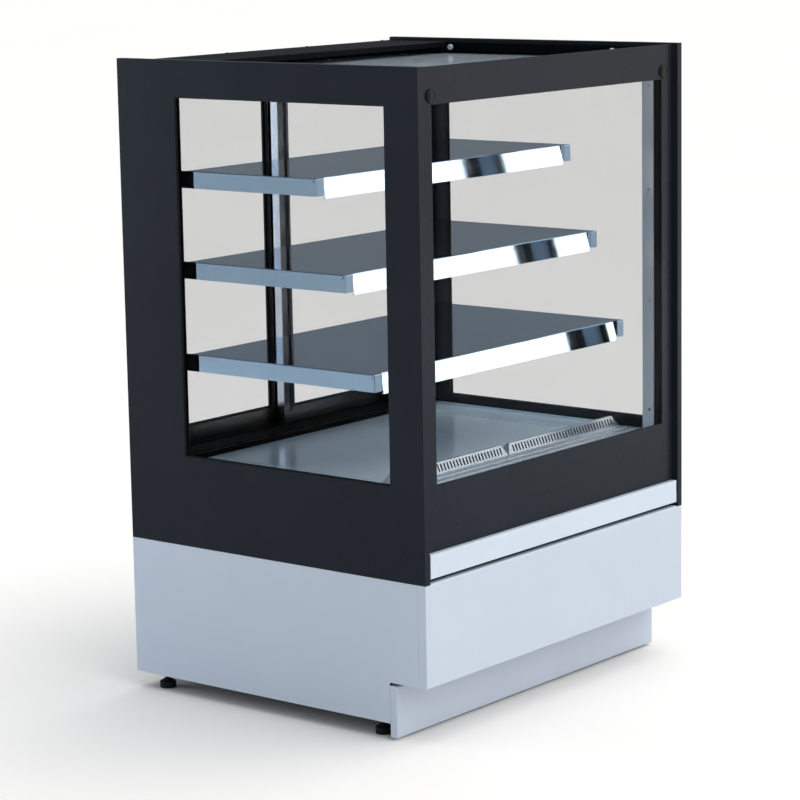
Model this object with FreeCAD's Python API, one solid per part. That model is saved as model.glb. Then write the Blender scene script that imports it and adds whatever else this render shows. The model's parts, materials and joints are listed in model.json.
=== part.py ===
import FreeCAD, Part
import os

# Refrigerated bakery display case. Millimetres, +Z up, front towards -Y, +X to the right when
# facing the front. The origin is on the floor, below the middle of the cabinet.

# ---- driving dimensions ----
WIDTH = 900.0
DEPTH = 775.0
HEIGHT = 1315.0

SHEET = 1.5                 # folded painted and galvanised sheet
THIN_SHEET = 1.2            # folded stainless sheet of the shelves
GAP = 0.3                   # clearance between faces that move past each other
RUN_FIT = 0.05              # radial clearance of a pin or stem in its hole

LOWER_TOP = 322.0           # top of the pale lower cabinet
LOWER_BOTTOM = 34.0         # lower edge of the pale side panels
OVERHANG_BOTTOM = 117.0     # lower edge of the front panel, above the recessed kick plate
KICK_RECESS = 76.0          # kick plate behind the front face
KICK_BOTTOM = 5.0
KICK_TOP = 111.0
RETURN_DEPTH = 16.0         # side returns of the kick plate
PANEL_RETURN = 19.0         # side returns of the front panel

SIDE_THICK = 16.0           # glazed side walls
WINDOW_FRONT = 82.0         # front edge of the side window, behind the front face
WINDOW_REAR = 619.0
WINDOW_BOTTOM = 509.0
WINDOW_TOP = 1241.0
PANE = 6.0

GLASS_SETBACK = 13.0        # front glass behind the front edges of the side walls
GLASS_THICK = 5.0
GLASS_HALF = 430.5
GLASS_BOTTOM = 345.0
GLASS_TOP = 1313.0
GLASS_MARGIN = 38.5         # black margin at the sides of the front glass
GLASS_WINDOW_BOTTOM = 509.0

PROFILE_BOTTOM = 331.0      # pale profile that carries the front glass
PROFILE_TOP = 380.0
PROFILE_HALF = 430.5
HINGE_DEPTH = 8.0           # hinge axis behind the front face
HINGE_Z = 337.0
HINGE_PIN_R = 3.0
CATCH_X = 396.0
CATCH_Z = 1258.0
CATCH_R = 12.5

WELL_BOTTOM = 326.0
WELL_TOP = 484.0
WELL_WALL = 34.0
DECK_TOP = 487.0
SILL_FRONT = 651.0          # rear sill, behind the front face
SILL_TOP = 498.0

GRILLE_FRONT = 147.0
GRILLE_REAR = 176.0
GRILLE_RISE = 21.0
GRILLE_FRONT_RUN = 9.0       # run of the sloped front face
GRILLE_REAR_RUN = 14.0
GRILLE_HIP = 13.0            # run of the sloped ends
GRILLE_LEFT = -366.0         # left end of the left grille
GRILLE_SHEET = 1.5
GRILLE_SPLIT = 21.0         # x of the joint between the two grilles
SLOT_PITCH = 10.5
SLOT_WIDTH = 5.0
DECK_LINES = (336.0, 355.0)  # pressed lines along the sides of the deck, from the middle
DECK_LINE_WIDTH = 4.0
DECK_LINE_RISE = 1.4

SHELF_HALF = 428.0
SHELF_REAR = 612.0
SHELF_SIDE_DROP = 35.0
SHELF_FRONT_DROP = 41.5
SHELF_LEAN = 6.5            # how far the lower edge of the price rail stands forward
SHELF_SIDE_REAR = 592.0
TAB_INNER = 403.0
RAIL_HALF = 399.0
SHELVES = {"bottom": (141.0, 719.0), "middle": (209.5, 908.0), "top": (278.0, 1092.0)}

CORNER_FRONT = 46.0          # corner profiles behind the front glass
CORNER_REAR = 75.0
CORNER_REACH = 24.0          # corner profile in from the side wall
LAMP_BOTTOM = 1250.0
LAMP_TOP = 1268.0

UPRIGHT_FRONT = 660.0
UPRIGHT_DEPTH = 28.0
UPRIGHT_WIDTH = 18.0

DOOR_BOTTOM = 500.0
DOOR_TOP = 1264.0
DOOR_THICK = 20.0
DOOR_STILE = 34.0
DOOR_RAIL = 34.0
DOOR_INNER_FRONT = 723.0    # inner door, the right one, behind the front face
DOOR_OUTER_FRONT = 750.0    # outer door, the left one
DOOR_OVERLAP = 17.0         # each door passes the middle by this much

TOP_GLASS_BOTTOM = 1276.0
TOP_GLASS_THICK = 6.0
COVER_FRONT = 605.0
COVER_TOP = 1308.0

FOOT_X = 415.0
FOOT_FRONT = 137.0
FOOT_REAR = 720.0
FOOT_PAD_R = 17.0
FOOT_STEM_R = 5.0

# ---- derived planes ----
FRONT = -DEPTH / 2
REAR = DEPTH / 2
HALF = WIDTH / 2
INNER = HALF - SIDE_THICK
PAN_TOP = 40.0
SERVICE_FACE = REAR - 6.0   # inner face of the rear service panel
SERVICE_OUT = SERVICE_FACE + SHEET


def depth(distance):
    """Row y of a point that lies this far behind the front face."""
    return FRONT + distance


def box(x0, x1, y0, y1, z0, z1):
    low = FreeCAD.Vector(min(x0, x1), min(y0, y1), min(z0, z1))
    return Part.makeBox(abs(x1 - x0), abs(y1 - y0), abs(z1 - z0), low)


def cylinder(radius, length, base, axis):
    return Part.makeCylinder(radius, length, FreeCAD.Vector(*base), FreeCAD.Vector(*axis))


def fuse(shapes):
    joined = shapes[0].fuse(shapes[1:]) if len(shapes) > 1 else shapes[0]
    return joined.removeSplitter()


def cut(shape, tools):
    return shape.cut(tools) if tools else shape


def extrude_x(outline, x0, x1):
    """Solid from a (y, z) outline, between two x planes."""
    points = [FreeCAD.Vector(x0, y, z) for y, z in outline]
    face = Part.Face(Part.makePolygon(points + points[:1]))
    return face.extrude(FreeCAD.Vector(x1 - x0, 0, 0))


def extrude_z(outline, z0, z1):
    """Solid from an (x, y) outline, between two z planes."""
    points = [FreeCAD.Vector(x, y, z0) for x, y in outline]
    face = Part.Face(Part.makePolygon(points + points[:1]))
    return face.extrude(FreeCAD.Vector(0, 0, z1 - z0))


def mirror_x(shape):
    return shape.mirror(FreeCAD.Vector(0, 0, 0), FreeCAD.Vector(1, 0, 0))


def both_sides(shape):
    return [shape, mirror_x(shape)]


def rounded(shape, radius, wanted):
    """Fillet the straight edges whose middle point and direction pass the wanted test."""
    edges = []
    for edge in shape.Edges:
        ends = [vertex.Point for vertex in edge.Vertexes]
        if len(ends) == 2 and wanted((ends[0] + ends[1]) * 0.5, (ends[1] - ends[0]).normalize()):
            edges.append(edge)
    return shape.makeFillet(radius, edges)


def along(direction, axis):
    return abs(getattr(direction, axis)) > 0.99


def save(name, shape):
    shape.exportStep("parts/" + name + ".step")


# ---- lower cabinet ----
def base_frame():
    """Welded frame: floor pan with foot bushes, four posts, top rails, kick plate brackets."""
    front = depth(KICK_RECESS + RETURN_DEPTH)
    rear = SERVICE_FACE - 0.5
    tube = 24.0
    wide = HALF - SHEET
    side = wide - 8.0
    parts = [box(-side, side, front, rear, PAN_TOP - 4.0, PAN_TOP)]
    for x in (-side, side - tube):
        for y in (front, rear - tube):
            parts.append(box(x, x + tube, y, y + tube, PAN_TOP, LOWER_TOP - SHEET))
    rail_bottom = LOWER_TOP - SHEET - tube
    for x in (-side, side - tube):
        parts.append(box(x, x + tube, depth(30.0), rear, rail_bottom, LOWER_TOP - SHEET))
    for y in (depth(30.0), rear - tube):
        parts.append(box(-side, side, y, y + tube, rail_bottom, LOWER_TOP - SHEET))
        parts.append(box(-INNER + 4, INNER - 4, y, y + tube, LOWER_TOP - SHEET, WELL_BOTTOM))
    floor_level = OVERHANG_BOTTOM + SHEET
    parts.append(box(-side, side, depth(4.0), front + 10.0, floor_level, floor_level + 2.0))
    for x in (-300.0, 260.0):
        parts.append(box(x, x + 40.0, depth(KICK_RECESS + SHEET), front + 10.0, 60.0, 63.0))
        parts.append(box(x, x + 40.0, front, front + 10.0, PAN_TOP, floor_level))
    for x in (-FOOT_X, FOOT_X):
        for y in (FOOT_FRONT, FOOT_REAR):
            parts.append(cylinder(10.0, 20.0, (x, depth(y), 28.0), (0, 0, 1)))
    frame = fuse(parts)
    holes = []
    for x in (-FOOT_X, FOOT_X):
        for y in (FOOT_FRONT, FOOT_REAR):
            holes.append(cylinder(FOOT_STEM_R + RUN_FIT, 60.0, (x, depth(y), 20.0), (0, 0, 1)))
            holes.append(cylinder(FOOT_STEM_R + 2.0, 40.0, (x, depth(y), 48.0), (0, 0, 1)))
    return cut(frame, holes)


def foot(x, y):
    """Levelling foot: rubber shoe with a rounded rim, and its screw."""
    pad = cylinder(FOOT_PAD_R, 14.0, (x, y, 0), (0, 0, 1))
    pad = pad.makeFillet(2.5, pad.Edges[:1])
    collar = cylinder(9.0, 4.0, (x, y, 14.0), (0, 0, 1))
    stem = cylinder(FOOT_STEM_R, 44.0, (x, y, 18.0), (0, 0, 1))
    return fuse([pad, collar, stem])


def folded_front(half_width, y0, y1, z0, z1, radius):
    """Sheet front with side, top and bottom returns, open at the rear."""
    outer = box(-half_width, half_width, y0, y1, z0, z1)
    outer = rounded(outer, radius, lambda mid, way: mid.y < y0 + 0.1 or (along(way, "y") and mid.z < z0 + 0.1))
    inner = box(-half_width + SHEET, half_width - SHEET, y0 + SHEET, y1 + 5.0, z0 + SHEET, z1 - SHEET)
    inner = rounded(inner, radius - SHEET + 0.2, lambda mid, way: mid.y < y0 + SHEET + 0.1)
    return outer.cut(inner)


def kick_plate():
    shell = folded_front(HALF - 0.5, depth(KICK_RECESS), depth(KICK_RECESS + RETURN_DEPTH),
                         KICK_BOTTOM, KICK_TOP, 4.0)
    return shell


def front_lower_panel():
    """Pale front panel, with the narrow lip that stands between the side walls."""
    shell = folded_front(HALF, FRONT, depth(PANEL_RETURN), OVERHANG_BOTTOM, LOWER_TOP, 2.2)
    lip = box(-PROFILE_HALF, PROFILE_HALF, depth(1.0), depth(12.0), LOWER_TOP - 0.5, LOWER_TOP + 1.6)
    return fuse([shell, lip])


def left_lower_panel():
    """Pale side panel with a stepped lower front corner and a flange that the side wall stands on."""
    front = depth(PANEL_RETURN + 0.4)
    notch = depth(KICK_RECESS + RETURN_DEPTH + 0.4)
    outline = [(REAR, LOWER_BOTTOM), (REAR, LOWER_TOP), (front, LOWER_TOP),
               (front, OVERHANG_BOTTOM), (notch, OVERHANG_BOTTOM), (notch, LOWER_BOTTOM)]
    skin = extrude_x(outline, -HALF, -HALF + SHEET)
    flange_in = -HALF + SHEET + 8.0
    top = box(-HALF, flange_in, front, REAR, LOWER_TOP - SHEET, LOWER_TOP)
    foot_flange = box(-HALF, flange_in, notch, REAR, LOWER_BOTTOM, LOWER_BOTTOM + SHEET)
    step_flange = box(-HALF, flange_in, front, notch, OVERHANG_BOTTOM, OVERHANG_BOTTOM + SHEET)
    rear_flange = box(-HALF, flange_in, REAR - SHEET, REAR, LOWER_BOTTOM, LOWER_TOP)
    return fuse([skin, top, foot_flange, step_flange, rear_flange])


# ---- rear service panel and what it holds ----
TRAY_X = (182.0, 398.0)
TRAY_Z = (41.0, 80.0)
CONTROL_X = (62.0, 138.0)
CONTROL_Z = (240.0, 272.0)
KEY_Z = 249.0
KEY_X = {"down": 78.0, "up": 94.0}
SWITCH_X = {"power": 190.0, "light": 225.0}
SWITCH_Z = 256.0
ROCKER_PIN_Y = SERVICE_OUT - 2.5
ROCKER_TILT = 8.0
ROCKER_PIN_R = 1.2
GLAND_X = 290.0
GLAND_Z = 256.0
FAN_X = -290.0
FAN_Z = 172.0
FAN_R = 88.0
COIL_X = (-400.0, -180.0)
COIL_Z = (62.0, 282.0)
SHAFT_R = 4.0
SHAFT_GAP = 4.0             # between a fan motor and its rotor
SHAFT_GRIP = 8.0            # length of shaft inside the rotor


def rear_service_panel():
    """Rear panel with rows of air slots over the condenser and cut-outs for the controls."""
    wide = HALF - SHEET - 8.5
    panel = fuse([box(-wide, wide, SERVICE_FACE, SERVICE_OUT, PAN_TOP - 4.0, LOWER_TOP - 0.5),
                  box(-INNER + 0.5, INNER - 0.5, SERVICE_FACE, SERVICE_OUT, LOWER_TOP - 1.0, WELL_BOTTOM)])
    tools = []
    rows = 14
    pitch = (COIL_Z[1] - COIL_Z[0] - 12.0) / rows
    for row in range(rows):
        z = COIL_Z[0] + 10.0 + row * pitch
        for x in (COIL_X[0] + 8.0, COIL_X[0] + 114.0):
            tools.append(box(x, x + 98.0, SERVICE_FACE - 1, SERVICE_OUT + 1, z, z + 6.0))
    tools.append(box(CONTROL_X[0] + 2, CONTROL_X[1] - 2, SERVICE_FACE - 1, SERVICE_OUT + 1,
                     CONTROL_Z[0] + 2, CONTROL_Z[1] - 2))
    for x in SWITCH_X.values():
        tools.append(box(x - 8.0, x + 8.0, SERVICE_FACE - 1, SERVICE_OUT + 1, SWITCH_Z - 13, SWITCH_Z + 13))
    tools.append(cylinder(10.1, 12.0, (GLAND_X, SERVICE_FACE - 5, GLAND_Z), (0, 1, 0)))
    tools.append(box(TRAY_X[0] - 3, TRAY_X[1] + 3, SERVICE_FACE - 1, SERVICE_OUT + 1, PAN_TOP, TRAY_Z[1] + 3))
    return cut(panel, tools)


def controller():
    """Electronic thermostat: case, bezel with a recessed display and two key holes."""
    case = box(CONTROL_X[0] + 3, CONTROL_X[1] - 3, SERVICE_FACE - 54, SERVICE_OUT, CONTROL_Z[0] + 3, CONTROL_Z[1] - 3)
    bezel = box(CONTROL_X[0], CONTROL_X[1], SERVICE_OUT, SERVICE_OUT + 3.5, CONTROL_Z[0], CONTROL_Z[1])
    bezel = rounded(bezel, 2.0, lambda mid, way: along(way, "y"))
    tools = [box(CONTROL_X[0] + 42, CONTROL_X[1] - 6, SERVICE_OUT + 2.5, REAR, CONTROL_Z[0] + 8, CONTROL_Z[1] - 6)]
    for x in KEY_X.values():
        tools.append(box(x - 5.5, x + 5.5, SERVICE_OUT - 3, REAR, KEY_Z - 4.5, KEY_Z + 4.5))
    return cut(fuse([case, bezel]), tools)


def controller_key(x):
    key = box(x - 5.0, x + 5.0, SERVICE_OUT - 1.0, SERVICE_OUT + 4.2, KEY_Z - 4.0, KEY_Z + 4.0)
    return rounded(key, 0.8, lambda mid, way: mid.y > SERVICE_OUT + 4.1)


def switch_housing(x):
    """Box of a rocker switch behind the panel, open towards the rear, with the rocker's pin across it."""
    outer = box(x - 7.8, x + 7.8, SERVICE_FACE - 22, SERVICE_OUT, SWITCH_Z - 12.8, SWITCH_Z + 12.8)
    rim = box(x - 10.0, x + 10.0, SERVICE_OUT, SERVICE_OUT + 1.5, SWITCH_Z - 15, SWITCH_Z + 15)
    rim = rounded(rim, 1.2, lambda mid, way: along(way, "y"))
    mouth = box(x - 6.6, x + 6.6, SERVICE_FACE - 10, REAR, SWITCH_Z - 11.6, SWITCH_Z + 11.6)
    pin = cylinder(ROCKER_PIN_R, 14.0, (x - 7.0, ROCKER_PIN_Y, SWITCH_Z), (1, 0, 0))
    return fuse([cut(fuse([outer, rim]), [mouth]), pin])


def rocker(x):
    """Rocker with a shallow dish across its face. It rests tilted to its off side, on a pin along X."""
    face = SERVICE_OUT + 2.4
    outline = [(face, SWITCH_Z + 9.6), (face - 1.2, SWITCH_Z), (face, SWITCH_Z - 9.6),
               (face - 5.0, SWITCH_Z - 9.6), (face - 9.0, SWITCH_Z - 3.0),
               (face - 9.0, SWITCH_Z + 3.0), (face - 5.0, SWITCH_Z + 9.6)]
    bore = cylinder(ROCKER_PIN_R + RUN_FIT, 20.0, (x - 10.0, ROCKER_PIN_Y, SWITCH_Z), (1, 0, 0))
    body = extrude_x(outline, x - 6.0, x + 6.0).cut(bore)
    body.rotate(FreeCAD.Vector(x, ROCKER_PIN_Y, SWITCH_Z), FreeCAD.Vector(1, 0, 0), -ROCKER_TILT)
    return body


def cord_gland():
    """Gland with a clamping nut, where a supply cord would enter."""
    body = cylinder(10.0, 14.0, (GLAND_X, SERVICE_FACE - 8, GLAND_Z), (0, 1, 0))
    flange = cylinder(13.0, 1.6, (GLAND_X, SERVICE_OUT, GLAND_Z), (0, 1, 0))
    nose = cylinder(8.0, 4.3, (GLAND_X, SERVICE_OUT, GLAND_Z), (0, 1, 0))
    bore = cylinder(4.5, 40.0, (GLAND_X, SERVICE_FACE - 20, GLAND_Z), (0, 1, 0))
    return cut(fuse([body, flange, nose]), [bore])


def condensate_tray():
    """Tray for the defrost water. It slides out to the rear by its face plate."""
    x0, x1 = TRAY_X
    z0, z1 = TRAY_Z
    y0 = REAR - 300.0
    y1 = SERVICE_OUT + GAP
    shell = box(x0, x1, y0, y1, z0, z1).cut(box(x0 + 2, x1 - 2, y0 + 2, y1 - 2, z0 + 2, z1 + 1))
    face = box(x0 - 6, x1 + 6, y1, y1 + 1.8, PAN_TOP + 1.0, z1 + 8)
    grip = box((x0 + x1) / 2 - 40, (x0 + x1) / 2 + 40, y1 + 1.8, REAR, z1 + 2, z1 + 8)
    return fuse([shell, face, grip])


def finned_coil(x0, x1, y0, y1, z0, z1, pitch, rows):
    """Fins across straight tubes, between two end plates."""
    fins = []
    count = int((x1 - x0) / pitch)
    for index in range(count + 1):
        x = x0 + (x1 - x0 - 1.2) * index / count
        fins.append(box(x, x + 1.2, y0, y1, z0, z1))
    step = (z1 - z0) / rows
    for row in range(rows):
        z = z0 + (row + 0.5) * step
        fins.append(cylinder(4.5, x1 - x0, (x0, (y0 + y1) / 2, z), (1, 0, 0)))
    return fuse(fins)


def condenser():
    return finned_coil(COIL_X[0], COIL_X[1], REAR - 70, REAR - 34, COIL_Z[0], COIL_Z[1], 9.0, 6)


def condenser_shroud():
    """Fan plate with a ring hole, its feet, and the motor on three arms."""
    y0, y1 = REAR - 84.0, REAR - 70.0
    plate = box(COIL_X[0], COIL_X[1], y1 - 2, y1, PAN_TOP, COIL_Z[1])
    ring = cylinder(FAN_R + 9, 14.0, (FAN_X, y0, FAN_Z), (0, 1, 0))
    hole = cylinder(FAN_R + 5, 40.0, (FAN_X, y0 - 10, FAN_Z), (0, 1, 0))
    motor = fan_motor(FAN_X, y0 - 46, FAN_Z, 28.0, 34.0)
    arms = []
    for turn in (90, 210, 330):
        arm = box(-3, 3, y0 - 40, y0 - 36, 20, FAN_R + 16)
        leg = box(-3, 3, y0 - 40, y1, FAN_R + 10, FAN_R + 16)
        pair = arm.fuse(leg)
        pair.rotate(FreeCAD.Vector(0, 0, 0), FreeCAD.Vector(0, 1, 0), turn)
        pair.translate(FreeCAD.Vector(FAN_X, 0, FAN_Z))
        arms.append(pair)
    solid = fuse([plate, ring])
    solid = cut(solid, [hole])
    return fuse([solid, motor] + arms)


def fan_motor(x, y, z, radius, length):
    """Motor can with its shaft, which the rotor turns on."""
    can = cylinder(radius, length, (x, y, z), (0, 1, 0))
    shaft = cylinder(SHAFT_R, SHAFT_GAP + SHAFT_GRIP, (x, y + length, z), (0, 1, 0))
    return fuse([can, shaft])


def fan_rotor(x, y, z, radius, hub, width, blades):
    """Hub with pitched blades, turning about an axis along Y through (x, z), bored for the shaft."""
    parts = [cylinder(hub, width, (x, y, z), (0, 1, 0))]
    for index in range(blades):
        blade = box(-radius * 0.22, radius * 0.22, -0.9, 0.9, hub * 0.8, radius)
        blade.rotate(FreeCAD.Vector(0, 0, 0), FreeCAD.Vector(0, 0, 1), 28)
        blade.rotate(FreeCAD.Vector(0, 0, 0), FreeCAD.Vector(0, 1, 0), 360.0 * index / blades)
        blade.translate(FreeCAD.Vector(x, y + width / 2, z))
        parts.append(blade)
    rim = cylinder(radius, width + 40, (x, y - 20, z), (0, 1, 0))
    bore = cylinder(SHAFT_R + RUN_FIT, width + 2.0, (x, y - 1.0, z), (0, 1, 0))
    return fuse(parts).common(rim).cut(bore)


def compressor():
    """Sealed compressor: welded pot with domed ends on a base plate with four rubber feet."""
    x, y = 60.0, REAR - 190.0
    pot = cylinder(72.0, 150.0, (x, y, PAN_TOP + 18), (0, 0, 1))
    pot = rounded_round(pot, 26.0)
    belt = cylinder(75.0, 8.0, (x, y, PAN_TOP + 88), (0, 0, 1))
    plate = box(x - 95, x + 95, y - 60, y + 60, PAN_TOP + 12, PAN_TOP + 22)
    terminal = box(x + 60, x + 92, y - 22, y + 22, PAN_TOP + 60, PAN_TOP + 110)
    stub = cylinder(5.0, 60.0, (x - 30, y, PAN_TOP + 140), (0, 0, 1))
    feet = [cylinder(11.0, 12.0, (x + i * 82, y + j * 46, PAN_TOP), (0, 0, 1)) for i in (-1, 1) for j in (-1, 1)]
    return fuse([pot, belt, plate, terminal, stub] + feet)


def rounded_round(shape, radius):
    """Fillet both round rims of an upright cylinder."""
    rims = [edge for edge in shape.Edges if len(edge.Vertexes) == 1]
    return shape.makeFillet(radius, rims)


# ---- insulated well, evaporator and deck ----
CAVITY_REAR = 690.0
EVAP_FRONT = 330.0
EVAP_FAN_Z = 422.0
EVAP_FAN_R = 46.0


def insulated_well():
    """Foamed well under the deck, between the side walls, with a drain hole in its floor."""
    outer = box(-INNER, INNER, depth(30.0), REAR - 4.0, WELL_BOTTOM, WELL_TOP)
    cavity = box(-INNER + WELL_WALL, INNER - WELL_WALL, depth(30.0 + WELL_WALL), depth(CAVITY_REAR),
                 WELL_BOTTOM + WELL_WALL, WELL_TOP + 1)
    drain = cylinder(8.0, 60.0, (290.0, depth(500.0), WELL_BOTTOM - 5), (0, 0, 1))
    return cut(outer, [cavity, drain])


def evaporator():
    """Finned coil lying in the well, with the plate that ducts its fan."""
    front = depth(EVAP_FRONT)
    floor = WELL_BOTTOM + WELL_WALL
    coil = finned_coil(-300.0, 300.0, front + 40, front + 120, floor + 14, WELL_TOP - 14, 12.0, 3)
    legs = [box(x, x + 8, front + 40, front + 120, floor, floor + 16) for x in (-300.0, 292.0)]
    plate = box(-330.0, 330.0, front + 38, front + 40, floor, WELL_TOP - 6)
    duct = cylinder(EVAP_FAN_R + 3, 40.0, (0, front + 10, EVAP_FAN_Z), (0, 1, 0))
    motor = fan_motor(0, front + 64, EVAP_FAN_Z, 16.0, 24.0)
    motor.rotate(FreeCAD.Vector(0, front + 64, EVAP_FAN_Z), FreeCAD.Vector(0, 0, 1), 180)
    arms = [box(-EVAP_FAN_R - 8, EVAP_FAN_R + 8, front + 36, front + 40, EVAP_FAN_Z - 3, EVAP_FAN_Z + 3)]
    return fuse([coil.cut(cylinder(18.0, 40, (0, front + 30, EVAP_FAN_Z), (0, 1, 0))),
                 plate.cut(duct), motor] + legs + arms)


def deck_plate():
    """Glossy deck with low side lips, two pressed lines along each side and a tab beside the left grille."""
    side = INNER - 8.0
    front, rear = depth(GRILLE_REAR - 3), depth(SILL_FRONT)
    plate = box(-side, side, front, rear, WELL_TOP, DECK_TOP)
    tab = box(-side, GRILLE_LEFT + 3, depth(GRILLE_FRONT + 3), front + 1, WELL_TOP, DECK_TOP)
    lip = box(-side, -side + 2.0, front, rear, DECK_TOP, DECK_TOP + 5)
    lip = rounded(lip, 0.8, lambda mid, way: along(way, "y") and mid.z > DECK_TOP + 4)
    lines = []
    for place in DECK_LINES:
        line = box(-place, DECK_LINE_WIDTH - place, front + 6, rear - 6, DECK_TOP - 1, DECK_TOP + DECK_LINE_RISE)
        lines += both_sides(rounded(line, 1.2, lambda mid, way: along(way, "y") and mid.z > DECK_TOP + 1))
    return fuse([plate, tab] + both_sides(lip) + lines)


def front_ledge():
    """Stainless ledge between the front glass and the air grilles, with two pressed lines."""
    side = INNER - 8.0
    plate = box(-side, side, depth(26.0), depth(GRILLE_FRONT + 3), WELL_TOP, DECK_TOP)
    ribs = []
    for start in (92.0, 118.0):
        rib = box(-side + 10, side - 10, depth(start), depth(start + 5), DECK_TOP - 1, DECK_TOP + 1.4)
        ribs.append(rounded(rib, 1.2, lambda mid, way: along(way, "x") and mid.z > DECK_TOP + 1))
    return fuse([plate] + ribs)


def hipped(x0, x1, y0, y1, z0, z1, hip, front_run, rear_run):
    """Closed ridge with sloped ends: a rectangle lofted to a smaller one above it."""
    def ring(ax, bx, ay, by, z):
        corners = [(ax, ay), (bx, ay), (bx, by), (ax, by), (ax, ay)]
        return Part.makePolygon([FreeCAD.Vector(x, y, z) for x, y in corners])
    low = ring(x0, x1, y0, y1, z0)
    high = ring(x0 + hip, x1 - hip, y0 + front_run, y1 - rear_run, z1)
    return Part.makeLoft([low, high], True, True)


def return_grille(x0, x1):
    """Raised air grille: a folded ridge with sloped ends, long slots in its front and short ones in its crest."""
    y0, y1 = depth(GRILLE_FRONT), depth(GRILLE_REAR)
    top = DECK_TOP + GRILLE_RISE
    t = GRILLE_SHEET
    outer = hipped(x0, x1, y0, y1, DECK_TOP, top, GRILLE_HIP, GRILLE_FRONT_RUN, GRILLE_REAR_RUN)
    inner = hipped(x0 + 2 * t, x1 - 2 * t, y0 + 1.6 * t, y1 - 1.6 * t, DECK_TOP - 0.5, top - t,
                   GRILLE_HIP - 1, GRILLE_FRONT_RUN - 0.5, GRILLE_REAR_RUN - 0.5)
    shell = outer.cut(inner)
    margin = GRILLE_HIP + 5.0
    length = x1 - x0 - 2 * margin
    count = int(length / SLOT_PITCH)
    start = x0 + margin + (length - count * SLOT_PITCH) / 2
    crest = y0 + GRILLE_FRONT_RUN
    slots = []
    for index in range(count + 1):
        x = start + index * SLOT_PITCH - SLOT_WIDTH / 2
        slots.append(box(x, x + SLOT_WIDTH, y0 - 1, crest + 1, DECK_TOP + 3.0, top - 4.0))
        slots.append(box(x, x + SLOT_WIDTH, crest + 1.2, crest + 5.0, top - t - 1, top + 1))
    return cut(shell, slots)


# ---- glazed side walls ----
def window_outline():
    return depth(WINDOW_FRONT), depth(WINDOW_REAR), WINDOW_BOTTOM, WINDOW_TOP


def left_side_wall():
    """Black wall with the opening for its window."""
    wall = box(-HALF, -INNER, FRONT, REAR, LOWER_TOP, HEIGHT)
    wall = rounded(wall, 0.8, lambda mid, way: along(way, "z") or mid.z > HEIGHT - 1)
    y0, y1, z0, z1 = window_outline()
    return wall.cut(box(-HALF - 1, -INNER + 1, y0, y1, z0, z1))


def left_side_pane():
    y0, y1, z0, z1 = window_outline()
    middle = -HALF + SIDE_THICK / 2
    return box(middle - PANE / 2, middle + PANE / 2, y0, y1, z0, z1)


# ---- front glass and its fittings ----
def front_window():
    half = GLASS_HALF - GLASS_MARGIN
    return -half, half, GLASS_WINDOW_BOTTOM, WINDOW_TOP


def front_glass_border():
    """Opaque black margin of the front glass, with the two catch holes."""
    y0, y1 = depth(GLASS_SETBACK), depth(GLASS_SETBACK + GLASS_THICK)
    sheet = box(-GLASS_HALF, GLASS_HALF, y0, y1, GLASS_BOTTOM, GLASS_TOP)
    x0, x1, z0, z1 = front_window()
    tools = [box(x0, x1, y0 - 1, y1 + 1, z0, z1)]
    for x in (-CATCH_X, CATCH_X):
        tools.append(cylinder(5.0, 20.0, (x, y0 - 5, CATCH_Z), (0, 1, 0)))
    return cut(sheet, tools)


def front_glass_pane():
    x0, x1, z0, z1 = front_window()
    return box(x0, x1, depth(GLASS_SETBACK), depth(GLASS_SETBACK + GLASS_THICK), z0, z1)


def front_glass_profile():
    """Pale profile clamped on the lower edge of the front glass, with the hinge tube at its foot."""
    y_face = 1.0
    y_glass = GLASS_SETBACK
    y_back = GLASS_SETBACK + GLASS_THICK
    outer = extrude_x([(depth(y_face), PROFILE_BOTTOM + 1), (depth(y_face), PROFILE_TOP),
                       (depth(y_glass), PROFILE_TOP), (depth(y_glass), GLASS_BOTTOM),
                       (depth(y_back), GLASS_BOTTOM), (depth(y_back), PROFILE_TOP - 4),
                       (depth(y_back + 3), PROFILE_TOP - 4), (depth(y_back + 3), PROFILE_BOTTOM + 6),
                       (depth(y_glass), PROFILE_BOTTOM + 1)], -PROFILE_HALF, PROFILE_HALF)
    outer = rounded(outer, 1.5, lambda mid, way: along(way, "x") and mid.y < depth(y_face + 0.1))
    chamber = box(-PROFILE_HALF - 1, PROFILE_HALF + 1, depth(y_face + 2.4), depth(y_glass - 2),
                  GLASS_BOTTOM + 1, PROFILE_TOP - 2.4)
    bore = cylinder(HINGE_PIN_R + RUN_FIT, 40.0, (-PROFILE_HALF - 5, depth(HINGE_DEPTH), HINGE_Z), (1, 0, 0))
    return cut(outer, [chamber] + both_sides(bore))


def hinge_bracket_left():
    """Plate on the side wall, with the pin that the front glass turns on."""
    plate = box(-INNER, -INNER + 2.0, depth(2.0), depth(29.0), PROFILE_BOTTOM - 3, PROFILE_BOTTOM + 22)
    plate = rounded(plate, 4.0, lambda mid, way: along(way, "x"))
    pin = cylinder(HINGE_PIN_R, 24.0, (-INNER + 1, depth(HINGE_DEPTH), HINGE_Z), (1, 0, 0))
    return fuse([plate, pin])


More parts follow.
